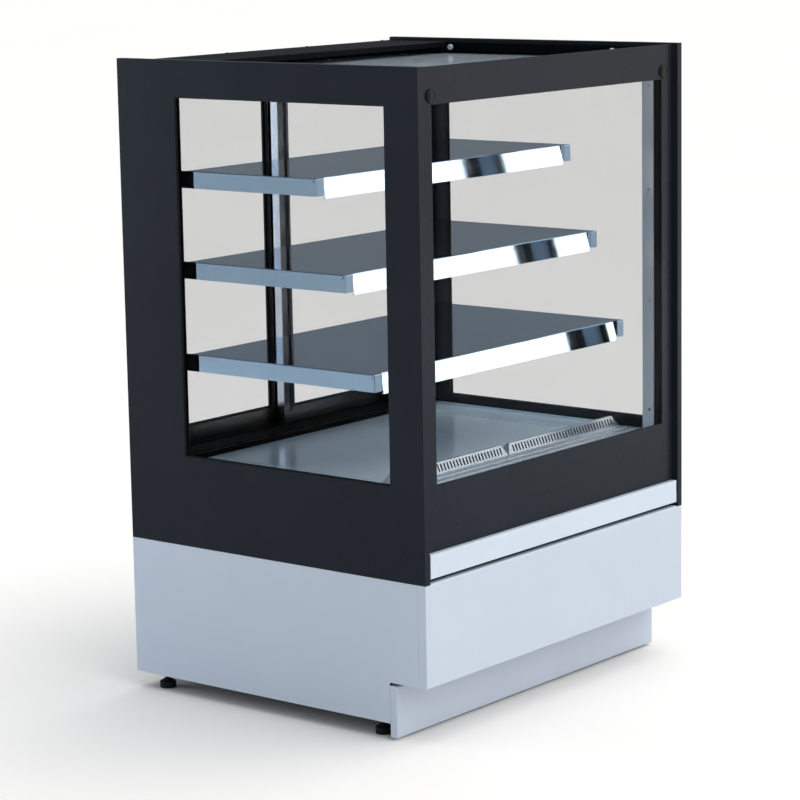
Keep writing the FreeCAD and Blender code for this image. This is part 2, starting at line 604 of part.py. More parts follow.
def glass_catch(x):
    """Round catch in the upper corner: cap with a half-moon recess, stem and steel plate."""
    face = depth(GLASS_SETBACK)
    back = depth(GLASS_SETBACK + GLASS_THICK)
    cap = cylinder(CATCH_R, 4.0, (x, face - 4.0, CATCH_Z), (0, 1, 0))
    cap = cap.makeFillet(1.0, [edge for edge in cap.Edges
                               if len(edge.Vertexes) == 1 and edge.BoundBox.YMax < face - 3.9])
    ring = cylinder(CATCH_R - 2.4, 0.7, (x, face - 4.0, CATCH_Z), (0, 1, 0))
    ring = ring.cut(cylinder(CATCH_R - 3.4, 0.7, (x, face - 4.0, CATCH_Z), (0, 1, 0)))
    moon = cylinder(CATCH_R - 3.4, 0.8, (x, face - 4.0, CATCH_Z), (0, 1, 0))
    moon = moon.cut(box(x - 20, x + 1.5, face - 6, face, CATCH_Z - 20, CATCH_Z + 20))
    stem = cylinder(4.9, GLASS_THICK + 0.2, (x, face - 0.1, CATCH_Z), (0, 1, 0))
    plate = cylinder(CATCH_R, 2.5, (x, back, CATCH_Z), (0, 1, 0))
    return fuse([cut(cap, [ring, moon]), stem, plate])


def catch_magnet(side):
    """Magnet holder on the side wall, just behind the catch plate."""
    front = depth(GLASS_SETBACK + GLASS_THICK + 2.5 + GAP)
    x_in = side * (CATCH_X - 10)
    block = box(x_in, side * INNER, front, front + 10.0, CATCH_Z - 12, CATCH_Z + 12)
    return rounded(block, 2.0, lambda mid, way: along(way, "z") and abs(mid.x) < CATCH_X)


# ---- inside the display ----
def corner_profile_left():
    """Upright aluminium channel behind the front glass. It is open towards the side wall and ends below the lamp."""
    y0, y1 = depth(CORNER_FRONT), depth(CORNER_REAR)
    x0, x1 = -INNER, -INNER + CORNER_REACH
    top = LAMP_BOTTOM - GAP
    web = box(x1 - 2.0, x1, y0, y1, DECK_TOP, top)
    lips = [box(x0, x1 - 1.0, y, y + 2.5, DECK_TOP, top) for y in (y0, y1 - 2.5)]
    return fuse([web] + lips)


def shelf(front, top):
    """Folded shelf: side flanges with front tabs, and a price rail that leans forward."""
    y0 = depth(front)
    tab_y = y0 - SHELF_LEAN
    bottom = top - SHELF_SIDE_DROP
    t = THIN_SHEET
    outer = box(-SHELF_HALF, SHELF_HALF, tab_y, depth(SHELF_REAR), bottom, top)
    outer = rounded(outer, 3.0, lambda mid, way: mid.y < tab_y + 0.1 and along(way, "z"))
    outer = rounded(outer, 1.8, lambda mid, way: mid.z > top - 0.1 and along(way, "y"))
    inner = box(-SHELF_HALF + t, SHELF_HALF - t, tab_y + t, depth(SHELF_REAR) + 2, bottom - 2, top - t)
    inner = rounded(inner, 1.8, lambda mid, way: mid.y < tab_y + t + 0.1 and along(way, "z"))
    tray = outer.cut(inner)
    middle = box(-TAB_INNER, TAB_INNER, tab_y - 2, y0 + 7, bottom - 5, top + 5)
    ends = [box(x, x + 4, depth(SHELF_SIDE_REAR), depth(SHELF_REAR) + 1, bottom - 1, top - t - 0.2)
            for x in (-SHELF_HALF - 1, SHELF_HALF - 3)]
    low_z = top - SHELF_FRONT_DROP
    rail = extrude_x([(y0 + 7, top), (y0 + 1.2, top), (y0, top - 1.2), (tab_y, low_z),
                      (tab_y + 5, low_z), (tab_y + 5, low_z + t), (tab_y + 1.4, low_z + t),
                      (y0 + t, top - 1.7), (y0 + 1.7, top - t), (y0 + 7, top - t)],
                     -RAIL_HALF, RAIL_HALF)
    return fuse([cut(tray, [middle] + ends), rail])


def shelf_arms(front, top):
    """Pair of cantilever arms that carry one shelf from the uprights."""
    high = top - THIN_SHEET
    x0, x1 = -SHELF_HALF + THIN_SHEET, -SHELF_HALF + 7.0
    y_tip, y_rear = depth(front + 60.0), depth(UPRIGHT_FRONT)
    web = extrude_x([(y_tip, high), (y_rear, high), (y_rear, top - SHELF_SIDE_DROP),
                     (depth(SHELF_SIDE_REAR), top - SHELF_SIDE_DROP), (y_tip, high - 14)], x0, x1)
    cheek = box(-SHELF_HALF, x1, depth(SHELF_SIDE_REAR + 0.5), y_rear,
                top - SHELF_SIDE_DROP, top - THIN_SHEET - 0.2)
    return Part.makeCompound(both_sides(fuse([web, cheek])))


def upright_left():
    """Rear upright: slotted tube on the side wall."""
    x0, x1 = -INNER, -INNER + UPRIGHT_WIDTH
    y0, y1 = depth(UPRIGHT_FRONT), depth(UPRIGHT_FRONT + UPRIGHT_DEPTH)
    tube = box(x0, x1, y0, y1, SILL_TOP, TOP_GLASS_BOTTOM - 0.5)
    bore = box(x0 + 2, x1 - 2, y0 + 2, y1 - 2, SILL_TOP - 1, TOP_GLASS_BOTTOM + 1)
    slots = []
    for index in range(28):
        z = SILL_TOP + 40 + index * 25.0
        slots.append(box(x0 + 5, x0 + 9, y0 - 1, y0 + 3, z, z + 14))
    return cut(tube, [bore] + slots)


def rear_sill():
    """Black sill behind the deck: air outlet slots and two door grooves."""
    block = box(-INNER, INNER, depth(SILL_FRONT), REAR - 1.0, WELL_TOP, SILL_TOP)
    block = rounded(block, 1.5, lambda mid, way: along(way, "x") and mid.z > SILL_TOP - 1 and mid.y < 300)
    tools = []
    for start in (DOOR_INNER_FRONT, DOOR_OUTER_FRONT):
        middle = depth(start + DOOR_THICK / 2)
        tools.append(box(-INNER + 1, INNER - 1, middle - 4.5, middle + 4.5, SILL_TOP - 8, SILL_TOP + 1))
    for index in range(16):
        x = -394.0 + index * 50.0
        tools.append(box(x, x + 38.0, depth(664.0), depth(672.0), WELL_TOP - 1, SILL_TOP + 1))
    return cut(block, tools)


def door_top_track():
    """Beam over the doors with a groove for each door."""
    beam = box(-INNER, INNER, depth(716.0), REAR - 2.0, DOOR_TOP + 2, COVER_TOP - 3)
    tools = []
    for start in (DOOR_INNER_FRONT, DOOR_OUTER_FRONT):
        middle = depth(start + DOOR_THICK / 2)
        tools.append(box(-INNER + 1, INNER - 1, middle - 4.5, middle + 4.5, DOOR_TOP, DOOR_TOP + 18))
    return cut(beam, tools)


def door_frame(x0, x1, front, stile_x):
    """Sliding door frame: stiles, rails, running tongues and the pull on its outer stile."""
    y0, y1 = depth(front), depth(front + DOOR_THICK)
    frame = box(x0, x1, y0, y1, DOOR_BOTTOM, DOOR_TOP)
    opening = box(x0 + DOOR_STILE, x1 - DOOR_STILE, y0 - 1, y1 + 1, DOOR_BOTTOM + DOOR_RAIL, DOOR_TOP - DOOR_RAIL)
    frame = rounded(frame, 1.0, lambda mid, way: along(way, "z"))
    middle = (y0 + y1) / 2
    tongues = []
    for x in (x0 + 4, x1 - 64):
        tongues.append(box(x, x + 60, middle - 3, middle + 3, SILL_TOP - 7.6, DOOR_BOTTOM))
        tongues.append(box(x, x + 60, middle - 3, middle + 3, DOOR_TOP, DOOR_TOP + 12))
    pull_x = x0 + 4 if stile_x < 0 else x1 - 12
    pull = box(pull_x, pull_x + 8, y1, y1 + 4.5, 780.0, 960.0)
    pull = rounded(pull, 1.5, lambda mid, way: mid.y > y1 + 4)
    meeting = x0 if stile_x > 0 else x1 - DOOR_STILE
    channel = box(meeting + 9, meeting + DOOR_STILE - 5, y0 - 1, y0 + 5, DOOR_BOTTOM + 26, DOOR_TOP - 26)
    return fuse([frame.cut([opening, channel]), pull] + tongues)


def door_glass(x0, x1, front):
    middle = depth(front + DOOR_THICK / 2)
    return box(x0 + DOOR_STILE, x1 - DOOR_STILE, middle - PANE / 2, middle + PANE / 2,
               DOOR_BOTTOM + DOOR_RAIL, DOOR_TOP - DOOR_RAIL)


# ---- top ----
def top_glass():
    return box(-INNER + 2.2, INNER - 2.2, depth(32.0), depth(700.0),
               TOP_GLASS_BOTTOM, TOP_GLASS_BOTTOM + TOP_GLASS_THICK)


def top_rail_left():
    """Channel on the side wall that holds the top glass, with two pins."""
    x0 = -INNER
    y0, y1 = depth(32.0), depth(COVER_FRONT - 1.0)
    web = box(x0, x0 + 2.0, y0, y1, TOP_GLASS_BOTTOM - 6, COVER_TOP - 1)
    seat = box(x0, x0 + 13.0, y0, y1, TOP_GLASS_BOTTOM - 3, TOP_GLASS_BOTTOM)
    flanges = [box(x0, x0 + 8.0, y0, y1, z, z + 2.5) for z in (TOP_GLASS_BOTTOM + 12, COVER_TOP - 3.5)]
    pins = [cylinder(2.5, 10.0, (x0 + 1, depth(d), TOP_GLASS_BOTTOM + 20), (1, 0, 0)) for d in (158.0, 592.0)]
    return fuse([web, seat] + flanges + pins)


def top_rear_cover():
    """Rear cover: flat top with a short front drop and a longer rear drop over the door track."""
    y0 = depth(COVER_FRONT)
    top = box(-INNER, INNER, y0, REAR, COVER_TOP - 3, COVER_TOP)
    top = rounded(top, 1.2, lambda mid, way: along(way, "x") and mid.z > COVER_TOP - 0.1)
    drop = box(-INNER, INNER, y0, y0 + 3, COVER_TOP - 12, COVER_TOP - 3)
    rear = box(-INNER, INNER, REAR - 2, REAR, DOOR_TOP + 2, COVER_TOP - 3)
    return fuse([top, drop, rear])


def top_lamp():
    """Lamp batten across the front, below the top glass: housing with a lens bar."""
    x = INNER - 10.0
    lens_x = INNER - CORNER_REACH - 4.0
    housing = box(-x, x, depth(46.0), depth(74.0), LAMP_BOTTOM, LAMP_TOP)
    housing = rounded(housing, 2.0, lambda mid, way: along(way, "x"))
    lens = box(-lens_x, lens_x, depth(52.0), depth(68.0), LAMP_BOTTOM - 4.0, LAMP_BOTTOM + 0.5)
    stays = [box(s * x, s * INNER, depth(50.0), depth(70.0), LAMP_TOP - 4.0, LAMP_TOP) for s in (-1, 1)]
    return fuse([housing, lens] + stays)


def write_parts():
    os.makedirs("parts", exist_ok=True)
    save("base_frame", base_frame())
    for side, x in (("left", -FOOT_X), ("right", FOOT_X)):
        save("foot_front_" + side, foot(x, depth(FOOT_FRONT)))
        save("foot_rear_" + side, foot(x, depth(FOOT_REAR)))
    save("kick_plate", kick_plate())
    save("front_lower_panel", front_lower_panel())
    save("rear_service_panel", rear_service_panel())
    save("controller", controller())
    for name, x in KEY_X.items():
        save("controller_key_" + name, controller_key(x))
    save("switch_housings", Part.makeCompound([switch_housing(x) for x in SWITCH_X.values()]))
    for name, x in SWITCH_X.items():
        save(name + "_switch", rocker(x))
    save("cord_gland", cord_gland())
    save("condensate_tray", condensate_tray())
    save("condenser", condenser())
    save("condenser_shroud", condenser_shroud())
    save("condenser_fan", fan_rotor(FAN_X, REAR - 92, FAN_Z, FAN_R, 26.0, 14.0, 5))
    save("compressor", compressor())
    save("insulated_well", insulated_well())
    save("evaporator", evaporator())
    save("evaporator_fan", fan_rotor(0.0, depth(EVAP_FRONT) + 22, EVAP_FAN_Z, EVAP_FAN_R, 14.0, 12.0, 5))
    save("deck_plate", deck_plate())
    save("front_ledge", front_ledge())
    edge = INNER - 11.0
    save("return_grille_left", return_grille(GRILLE_LEFT, GRILLE_SPLIT - 1.5))
    save("return_grille_right", return_grille(GRILLE_SPLIT + 1.5, edge))
    for name, shape in (("lower_panel", left_lower_panel()), ("side_wall", left_side_wall()),
                        ("side_pane", left_side_pane()), ("corner_profile", corner_profile_left()),
                        ("upright", upright_left())):
        save("left_" + name, shape)
        save("right_" + name, mirror_x(shape))
    save("hinge_brackets", Part.makeCompound(both_sides(hinge_bracket_left())))
    save("top_rails", Part.makeCompound(both_sides(top_rail_left())))
    save("front_glass_border", front_glass_border())
    save("front_glass_pane", front_glass_pane())
    save("front_glass_profile", front_glass_profile())
    for side, sign in (("left", -1), ("right", 1)):
        save("glass_catch_" + side, glass_catch(sign * CATCH_X))
    save("catch_magnets", Part.makeCompound([catch_magnet(-1), catch_magnet(1)]))
    for name, (front, top) in SHELVES.items():
        save("shelf_" + name, shelf(front, top))
        save("shelf_arms_" + name, shelf_arms(front, top))
    save("rear_sill", rear_sill())
    save("door_top_track", door_top_track())
    far = INNER - 4.0
    save("right_door_frame", door_frame(-DOOR_OVERLAP, far, DOOR_INNER_FRONT, 1))
    save("right_door_glass", door_glass(-DOOR_OVERLAP, far, DOOR_INNER_FRONT))
    save("left_door_frame", door_frame(-far, DOOR_OVERLAP, DOOR_OUTER_FRONT, -1))
    save("left_door_glass", door_glass(-far, DOOR_OVERLAP, DOOR_OUTER_FRONT))
    save("top_glass", top_glass())
    save("top_rear_cover", top_rear_cover())
    save("top_lamp", top_lamp())


write_parts()
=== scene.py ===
import json
import math

import bmesh
import bpy
from mathutils import Matrix, Vector


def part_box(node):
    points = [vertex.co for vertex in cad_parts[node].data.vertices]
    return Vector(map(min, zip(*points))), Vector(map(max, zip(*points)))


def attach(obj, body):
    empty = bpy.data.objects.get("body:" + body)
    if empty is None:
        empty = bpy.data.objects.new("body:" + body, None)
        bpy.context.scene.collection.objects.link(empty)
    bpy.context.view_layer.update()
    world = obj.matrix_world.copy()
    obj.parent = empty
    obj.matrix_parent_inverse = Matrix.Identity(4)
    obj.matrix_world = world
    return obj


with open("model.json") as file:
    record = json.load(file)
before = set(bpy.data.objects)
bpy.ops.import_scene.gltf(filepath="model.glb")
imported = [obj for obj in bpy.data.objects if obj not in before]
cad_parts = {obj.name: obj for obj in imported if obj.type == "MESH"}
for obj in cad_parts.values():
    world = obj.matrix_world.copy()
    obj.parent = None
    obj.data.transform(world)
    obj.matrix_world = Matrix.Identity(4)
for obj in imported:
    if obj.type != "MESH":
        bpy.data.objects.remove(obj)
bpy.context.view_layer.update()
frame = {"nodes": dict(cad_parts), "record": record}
NODES = frame["nodes"]
MM = 0.001
EVEN = (1.0, 1.0, 1.0)
BRUSH_X = (6.0, 900.0, 900.0)
BRUSH_Z = (900.0, 900.0, 6.0)
SMUDGE_SCALE = 3.0
DUST_COLOUR = (0.55, 0.55, 0.53)
PANE_IOR = 1.045
TOP_GLASS_IOR = 1.45
# painted shade: dark colour for the door profiles' faces across Y
SHADED_FACE_COLOUR = (0.045, 0.05, 0.055)
SHARP_ANGLE = math.radians(32)
SCREW_RADIUS = 4.2 * MM
FLOOR_REACH = 120.0
GLASS_HAZE = 0.004
SOFTBOX_WAY = (0.42, -0.48, 1.0)
SOFTBOX_STRENGTH = 1.85
SOFTBOX_COLOUR = (0.99, 0.985, 0.975, 1.0)
BASE_STRENGTH = 0.31
BASE_COLOUR = (0.87, 0.96, 1.04, 1.0)
CAMERA_PLACE = (-4.6531, -3.6999, 1.6328)
CAMERA_YAW = math.radians(51.306)
CAMERA_PITCH = math.radians(10.021)
CAMERA_ROLL = math.radians(1.001)
CAMERA_LENS = 128.87


# ---- node helpers ----
def add(tree, kind, **inputs):
    """Adds a shader node and sets its plain input values or links."""
    node = tree.nodes.new(kind)
    for name, value in inputs.items():
        socket = node.inputs[int(name[1:])] if name[0] == "i" and name[1:].isdigit() else node.inputs[name]
        if isinstance(value, bpy.types.NodeSocket):
            tree.links.new(value, socket)
        else:
            socket.default_value = value
    return node


def math_node(tree, operation, a, b=0.0, clamp=False):
    """Math node. Returns its result."""
    node = add(tree, "ShaderNodeMath", i0=a, i1=b)
    node.operation = operation
    node.use_clamp = clamp
    return node.outputs[0]


def coordinates(tree, stretch):
    """Row-frame position in metres, scaled along each axis."""
    place = add(tree, "ShaderNodeTexCoord")
    mapping = add(tree, "ShaderNodeMapping", Vector=place.outputs["Object"], Scale=stretch)
    return mapping.outputs[0]


def noise(tree, scale, detail=3.0, rough=0.5, stretch=EVEN):
    """Noise pattern in the object's own place, 0..1."""
    node = add(tree, "ShaderNodeTexNoise", Vector=coordinates(tree, stretch), Scale=scale, Detail=detail,
               Roughness=rough)
    return node.outputs["Fac"]


def spread(tree, value, low, high, low_to, high_to):
    """Maps a 0..1 pattern to a range, clamped."""
    node = add(tree, "ShaderNodeMapRange", Value=value)
    node.inputs["From Min"].default_value = low
    node.inputs["From Max"].default_value = high
    node.inputs["To Min"].default_value = low_to
    node.inputs["To Max"].default_value = high_to
    return node.outputs[0]


def mix_colour(tree, factor, a, b):
    """Colour between a and b. Each of the three may be a value or a socket."""
    node = tree.nodes.new("ShaderNodeMix")
    node.data_type = "RGBA"
    for socket, value in ((node.inputs[0], factor), (node.inputs[6], a), (node.inputs[7], b)):
        if isinstance(value, bpy.types.NodeSocket):
            tree.links.new(value, socket)
        else:
            socket.default_value = (*value, 1.0) if isinstance(value, tuple) and len(value) == 3 else value
    return node.outputs[2]


def new_material(name):
    """Empty material with its node tree and its Principled shader."""
    material = bpy.data.materials.new(name)
    material.use_nodes = True
    tree = material.node_tree
    shader = tree.nodes["Principled BSDF"]
    return material, tree, shader


def surface(name, dark, light, rough, metallic=0.0, cloud=6.0, bump=(700.0, 0.1),
            stretch=EVEN, grain=0.0, specular=0.5, dust=0.0):
    """General finish: colour clouds, smudged roughness, fine bump, optional drawn grain and dust."""
    material, tree, shader = new_material(name)
    clouds = noise(tree, cloud, 4.0, 0.6)
    tone = spread(tree, clouds, 0.3, 0.7, 0.0, 1.0)
    streaks = noise(tree, 1.0, 4.0, 0.65, stretch)
    if grain:
        mixed = math_node(tree, "MULTIPLY", spread(tree, streaks, 0.3, 0.7, -1.0, 1.0), grain)
        tone = math_node(tree, "ADD", tone, mixed, clamp=True)
    colour = mix_colour(tree, tone, dark, light)
    if dust:
        fine = noise(tree, 2600.0, 2.0, 0.7)
        specks = spread(tree, fine, 0.66, 0.80, 0.0, dust)
        colour = mix_colour(tree, specks, colour, DUST_COLOUR)
    tree.links.new(colour, shader.inputs["Base Color"])
    patches = noise(tree, SMUDGE_SCALE, 5.0, 0.62)
    worn = spread(tree, patches, 0.32, 0.68, rough[0], rough[1])
    if grain:
        worn = math_node(tree, "ADD", worn, spread(tree, streaks, 0.3, 0.7, -0.03, 0.03))
    tree.links.new(worn, shader.inputs["Roughness"])
    shader.inputs["Metallic"].default_value = metallic
    shader.inputs["Specular IOR Level"].default_value = specular
    height = noise(tree, bump[0], 3.0, 0.6)
    if grain:
        height = math_node(tree, "ADD", height, streaks)
    bumped = add(tree, "ShaderNodeBump", Height=height, Strength=bump[1], Distance=0.0002)
    tree.links.new(bumped.outputs[0], shader.inputs["Normal"])
    return material


def clear_glass(name, tint):
    """Clear pane. Lamps shine through it; faint smears vary its gloss."""
    material, tree, shader = new_material(name)
    colour = mix_colour(tree, spread(tree, noise(tree, 2.5, 3.0), 0.3, 0.7, 0.0, 1.0), tint,
                        tuple(0.985 * c for c in tint))
    tree.links.new(colour, shader.inputs["Base Color"])
    smear = spread(tree, noise(tree, 5.0, 6.0, 0.7, (1.0, 1.0, 0.35)), 0.45, 0.8, 0.0, GLASS_HAZE)
    tree.links.new(smear, shader.inputs["Roughness"])
    shader.inputs["Transmission Weight"].default_value = 1.0
    shader.inputs["IOR"].default_value = PANE_IOR
    shader.inputs["Specular Tint"].default_value = (0.3, 0.3, 0.3, 1.0)
    output = tree.nodes["Material Output"]
    through = add(tree, "ShaderNodeBsdfTransparent", Color=(*tint, 1.0))
    path = add(tree, "ShaderNodeLightPath")
    both = add(tree, "ShaderNodeMixShader", Fac=path.outputs["Is Shadow Ray"], i1=shader.outputs[0],
               i2=through.outputs[0])
    tree.links.new(both.outputs[0], output.inputs["Surface"])
    return material


MATERIALS = {
    "enamelled_glass": surface("enamelled_glass", (0.0145, 0.0185, 0.0250), (0.0165, 0.0210, 0.0280),
                               (0.25, 0.31), bump=(1500.0, 0.05), specular=0.05),
    "clear_glass": clear_glass("clear_glass", (0.79, 0.795, 0.80)),
    "pale_paint": surface("pale_paint", (0.495, 0.56, 0.655), (0.515, 0.58, 0.675), (0.40, 0.46),
                          bump=(900.0, 0.16), dust=0.05),
    "pale_profile": surface("pale_profile", (0.55, 0.62, 0.71), (0.57, 0.64, 0.73), (0.36, 0.42),
                            bump=(1100.0, 0.10)),
    "shelf_stainless": surface("shelf_stainless", (0.29, 0.42, 0.56), (0.33, 0.46, 0.60), (0.06, 0.09), 1.0,
                               bump=(1800.0, 0.02), stretch=BRUSH_X, grain=0.25),
    "deck_stainless": surface("deck_stainless", (0.66, 0.80, 0.90), (0.70, 0.84, 0.94), (0.12, 0.16), 0.2,
                              bump=(1800.0, 0.02), stretch=BRUSH_X, grain=0.3),
    "polished_aluminium": surface("polished_aluminium", (0.78, 0.83, 0.88), (0.84, 0.88, 0.92),
                                  (0.08, 0.12), 0.4, bump=(1500.0, 0.02), stretch=BRUSH_Z, grain=0.2),
    "door_aluminium": surface("door_aluminium", (0.36, 0.39, 0.43), (0.42, 0.45, 0.49), (0.20, 0.27), 1.0,
                              bump=(1500.0, 0.04), stretch=BRUSH_Z, grain=0.25),
    "dark_paint": surface("dark_paint", (0.004, 0.0045, 0.0055), (0.006, 0.0065, 0.0075), (0.46, 0.54),
                          bump=(1200.0, 0.12), specular=0.02, dust=0.02),
    "frame_paint": surface("frame_paint", (0.10, 0.105, 0.11), (0.14, 0.145, 0.15), (0.42, 0.5),
                           bump=(900.0, 0.2), dust=0.1),
    "galvanised": surface("galvanised", (0.40, 0.42, 0.44), (0.55, 0.57, 0.59), (0.32, 0.45), 1.0,
                          cloud=60.0, bump=(500.0, 0.06)),
    "control_plastic": surface("control_plastic", (0.012, 0.012, 0.013), (0.02, 0.02, 0.022), (0.28, 0.36),
                               bump=(2500.0, 0.15)),
    "key_plastic": surface("key_plastic", (0.22, 0.235, 0.25), (0.27, 0.285, 0.30), (0.34, 0.42),
                           bump=(2500.0, 0.12)),
    "rocker_plastic": surface("rocker_plastic", (0.02, 0.02, 0.022), (0.03, 0.03, 0.033), (0.2, 0.28),
                              bump=(2500.0, 0.08)),
    "gland_plastic": surface("gland_plastic", (0.015, 0.015, 0.015), (0.025, 0.025, 0.026), (0.42, 0.5),
                             bump=(2000.0, 0.2)),
    "coil_aluminium": surface("coil_aluminium", (0.52, 0.53, 0.55), (0.68, 0.69, 0.71), (0.30, 0.42), 1.0,
                              cloud=30.0, bump=(800.0, 0.1), dust=0.2),
    "compressor_paint": surface("compressor_paint", (0.008, 0.008, 0.008), (0.016, 0.016, 0.017),
                                (0.2, 0.3), bump=(300.0, 0.1), dust=0.12),
    "well_liner": surface("well_liner", (0.40, 0.42, 0.44), (0.46, 0.48, 0.50), (0.4, 0.5),
                          bump=(600.0, 0.1)),
    "lamp_aluminium": surface("lamp_aluminium", (0.60, 0.62, 0.64), (0.68, 0.70, 0.72), (0.25, 0.32), 1.0,
                              bump=(1500.0, 0.05), stretch=BRUSH_X, grain=0.2),
    "hinge_steel": surface("hinge_steel", (0.45, 0.46, 0.48), (0.55, 0.56, 0.58), (0.22, 0.32), 1.0,
                           bump=(1500.0, 0.06)),
    "catch_black": surface("catch_black", (0.004, 0.005, 0.006), (0.006, 0.007, 0.008), (0.28, 0.34),
                           bump=(1500.0, 0.03), specular=0.12),
    "foot_rubber": surface("foot_rubber", (0.006, 0.006, 0.006), (0.012, 0.012, 0.012), (0.55, 0.7),
                           bump=(1600.0, 0.35), specular=0.15, dust=0.08),
    "fan_plastic": surface("fan_plastic", (0.012, 0.012, 0.013), (0.022, 0.022, 0.023), (0.35, 0.45),
                           bump=(1500.0, 0.1), dust=0.2),
    "tray_plastic": surface("tray_plastic", (0.17, 0.18, 0.19), (0.21, 0.22, 0.23), (0.4, 0.5),
                            bump=(1500.0, 0.2)),
}


def soften(node, width, segments=2):
    """Small bevel on a CAD node's sharp edges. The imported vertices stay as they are."""
    weld = node.modifiers.new("weld", "WELD")
    weld.merge_threshold = 0.00001
    flat = node.modifiers.new("flat", "DECIMATE")
    flat.decimate_type = "DISSOLVE"
    flat.angle_limit = math.radians(0.5)
    bevel = node.modifiers.new("bevel", "BEVEL")
    bevel.width = width
    bevel.segments = segments
    bevel.limit_method = "ANGLE"
    bevel.angle_limit = math.radians(35)
    bevel.use_clamp_overlap = True
    normals = node.modifiers.new("normals", "WEIGHTED_NORMAL")
    normals.weight = 100
    normals.keep_sharp = False


def glass_with_painted_reflection(name, tint):
    """Clear pane with a pale blue diffuse share that stands in for the bright sky reflection (painted
    reflection); it also softens what is seen through it.
    """
    material, tree, shader = new_material(name)
    cloud = spread(tree, noise(tree, 3.0, 3.0), 0.3, 0.7, 0.0, 1.0)
    colour = mix_colour(tree, cloud, tint, tuple(0.97 * c for c in tint))
    tree.links.new(colour, shader.inputs["Base Color"])
    smear = spread(tree, noise(tree, 6.0, 5.0, 0.7), 0.3, 0.8, 0.10, 0.16)
    tree.links.new(smear, shader.inputs["Roughness"])
    # painted reflection: the share that is not transmitted shows the pale blue colour
    shader.inputs["Transmission Weight"].default_value = 0.68
    shader.inputs["IOR"].default_value = TOP_GLASS_IOR
    return material


def paint_shaded_faces(material, colour):
    """Painted shade on a bright profile: the front and rear faces, across Y, are painted dark to stand in for
    the darker reflection they show. The faces across Y take the given colour.
    """
    tree = material.node_tree
    shader = tree.nodes["Principled BSDF"]
    bright = shader.inputs["Base Color"].links[0].from_socket
    normal = add(tree, "ShaderNodeNewGeometry").outputs["True Normal"]
    across = math_node(tree, "ABSOLUTE", add(tree, "ShaderNodeSeparateXYZ", i0=normal).outputs["Y"])
    tree.links.new(mix_colour(tree, spread(tree, across, 0.6, 0.8, 0.0, 1.0), bright, colour),
                   shader.inputs["Base Color"])


def dress_nodes():
    """Gives every CAD node the finish of its slot."""
    slots = {part["node"]: part["material_slot"] for part in frame["record"]["subparts"]}
    for name, node in NODES.items():
        node.data.materials.clear()
        node.data.materials.append(MATERIALS[slots[name]])
    # painted reflection: the top glass is partly a pale blue diffuse surface
    NODES["top_glass"].data.materials[0] = glass_with_painted_reflection("top_glass_painted_reflection", (0.82, 0.91, 1.0))
    satin = surface("satin_stainless", (0.50, 0.56, 0.62), (0.56, 0.62, 0.68), (0.26, 0.32), 0.65,
                    bump=(1800.0, 0.02), stretch=BRUSH_X, grain=0.2)
    for name in ("front_ledge", "return_grille_left", "return_grille_right"):
        NODES[name].data.materials[0] = satin
    # painted shade: the door profiles' faces across Y are painted dark
    paint_shaded_faces(MATERIALS["door_aluminium"], SHADED_FACE_COLOUR)


dress_nodes()


# ---- mesh helpers ----
def piece(name, shape, body, finish, material=None):
    """Turns a bmesh into a piece that rides on a CAD body and takes a slot's finish."""
    bmesh.ops.recalc_face_normals(shape, faces=shape.faces)
    mesh = bpy.data.meshes.new(name)
    shape.to_mesh(mesh)
    shape.free()
    made = bpy.data.objects.new(name, mesh)
    bpy.context.scene.collection.objects.link(made)
    mesh.materials.append(material or MATERIALS[finish])
    mesh.shade_smooth()
    mesh.set_sharp_from_angle(angle=SHARP_ANGLE)
    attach(made, body)


def ring(shape, low, high, axis, profile):
    """Mitred rectangular ring across an axis. A profile point is (inset, place on the axis)."""
    u, v = [index for index in range(3) if index != axis]
    loops = []
    for side_u, side_v in ((0, 0), (1, 0), (1, 1), (0, 1)):
        loop = []
        for inset, place in profile:
            point = [0.0, 0.0, 0.0]
            point[u] = (low[u] + inset, high[u] - inset)[side_u]
            point[v] = (low[v] + inset, high[v] - inset)[side_v]
            point[axis] = place
            loop.append(shape.verts.new(point))
        loops.append(loop)
    count = len(profile)
    for corner in range(4):
        a, b = loops[corner], loops[(corner + 1) % 4]
        for index in range(count):
            after = (index + 1) % count
            shape.faces.new((a[index], a[after], b[after], b[index]))


def turning(axis):
    """Two unit vectors square to an axis."""
    way = Vector(axis).normalized()
    side = way.orthogonal().normalized()
    return way, side, way.cross(side)


def lathe(shape, base, axis, profile, sides=32):
    """Turned shape. A profile point is (radius, height along the axis); radius 0 closes it."""
    way, side, other = turning(axis)
    rows = []
    for radius, height in profile:
        centre = Vector(base) + way * height
        if radius < 1e-7:
            rows.append([shape.verts.new(centre)])
            continue
        turns = [2 * math.pi * index / sides for index in range(sides)]
        rows.append([shape.verts.new(centre + side * radius * math.cos(t) + other * radius * math.sin(t))
                     for t in turns])
    for a, b in zip(rows, rows[1:]):
        for index in range(sides):
            after = (index + 1) % sides
            corners = [a[index % len(a)], a[after % len(a)], b[after % len(b)], b[index % len(b)]]
            corners = list(dict.fromkeys(corners))
            if len(corners) > 2:
                shape.faces.new(corners)


